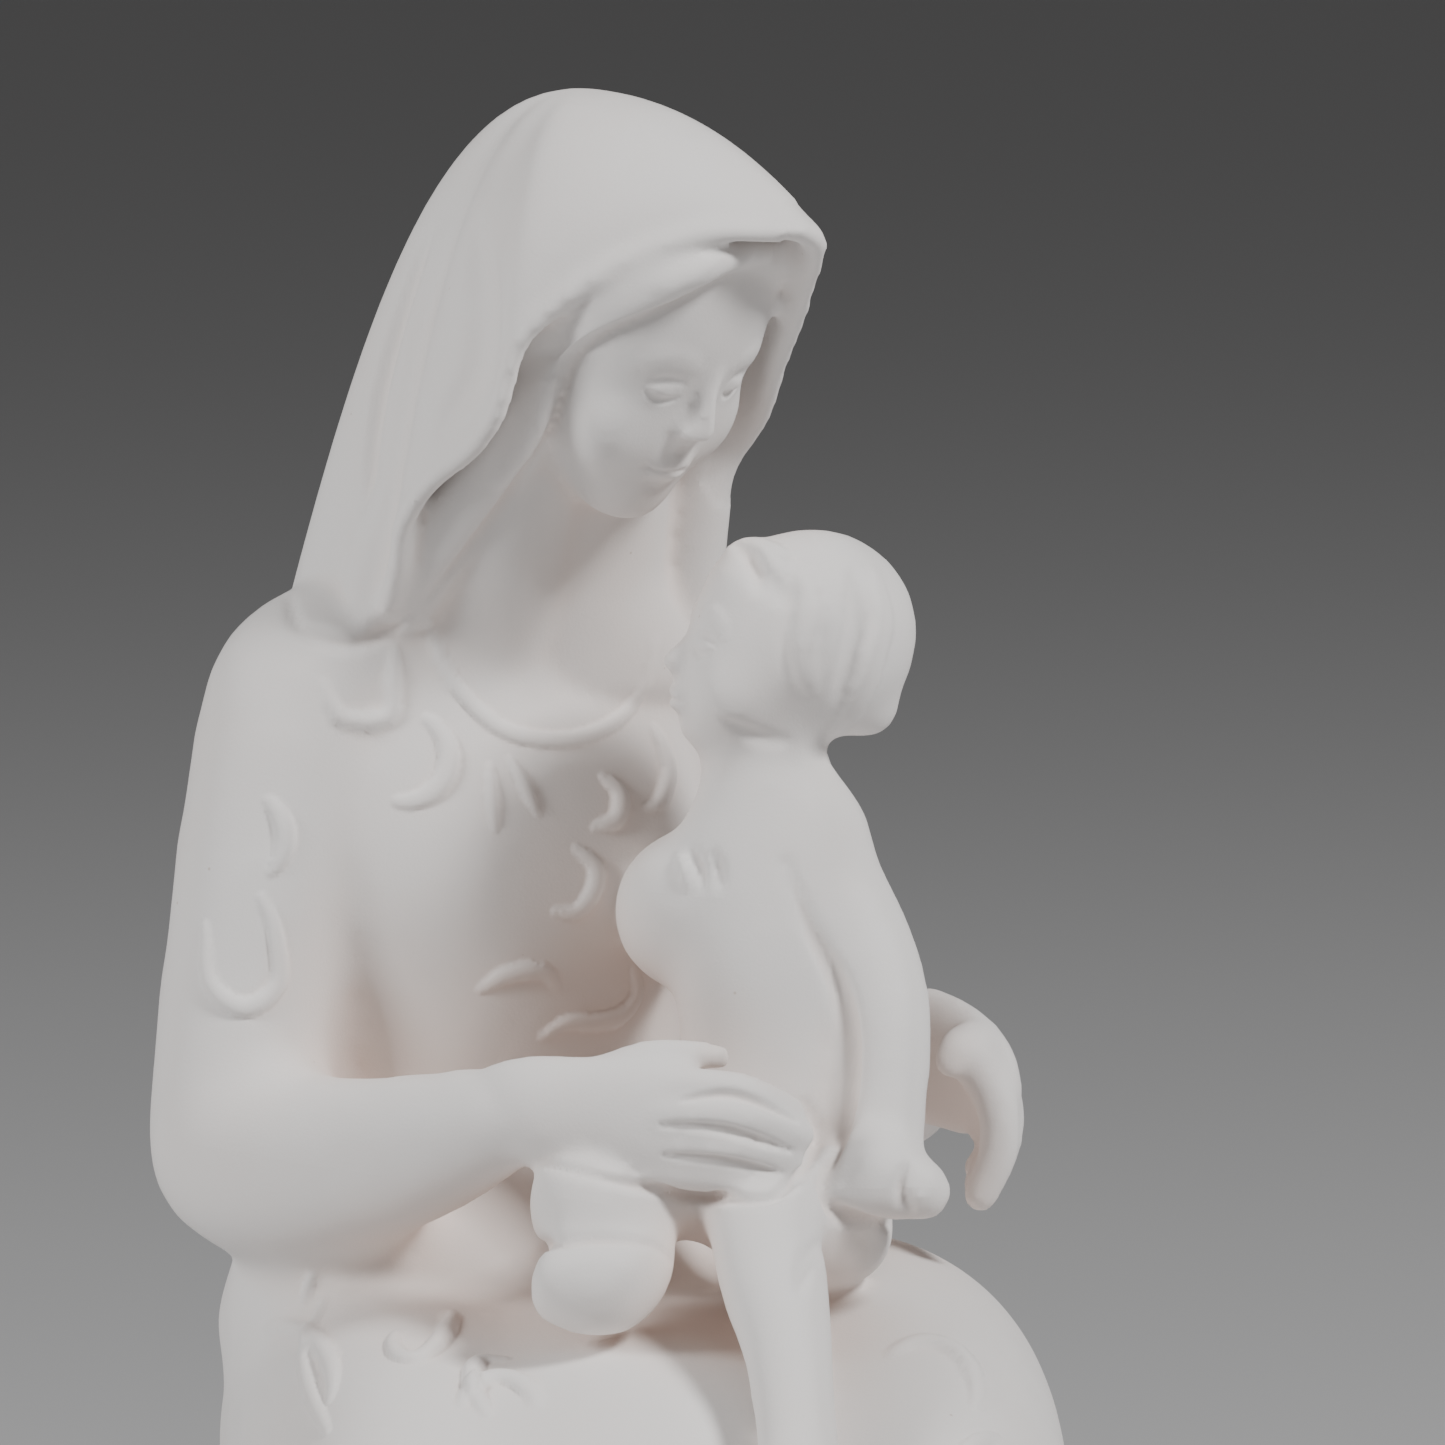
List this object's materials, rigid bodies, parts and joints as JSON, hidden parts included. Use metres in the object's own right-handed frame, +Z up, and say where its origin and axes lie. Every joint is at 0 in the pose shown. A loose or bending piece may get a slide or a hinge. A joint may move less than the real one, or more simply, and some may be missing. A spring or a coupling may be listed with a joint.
{
  "type": "virgin and child statue",
  "caption": "Seated virgin in a hooded veil and relief-patterned dress with a bare child on her lap, cast as one on a low oval base; stands on its underside.",
  "frame": {"origin": "middle of the oval base's flat underside", "axes": "+Z up through the figure, -Y towards the side that the picture was taken from, which is the figure's front, +X to that view's right"},
  "size_m": [0.134, 0.1561, 0.3021],
  "materials": {
    "bisque": "matte"
  },
  "bodies": {
    "root": {"virgin_and_child": "bisque"}
  },
  "joints": []
}
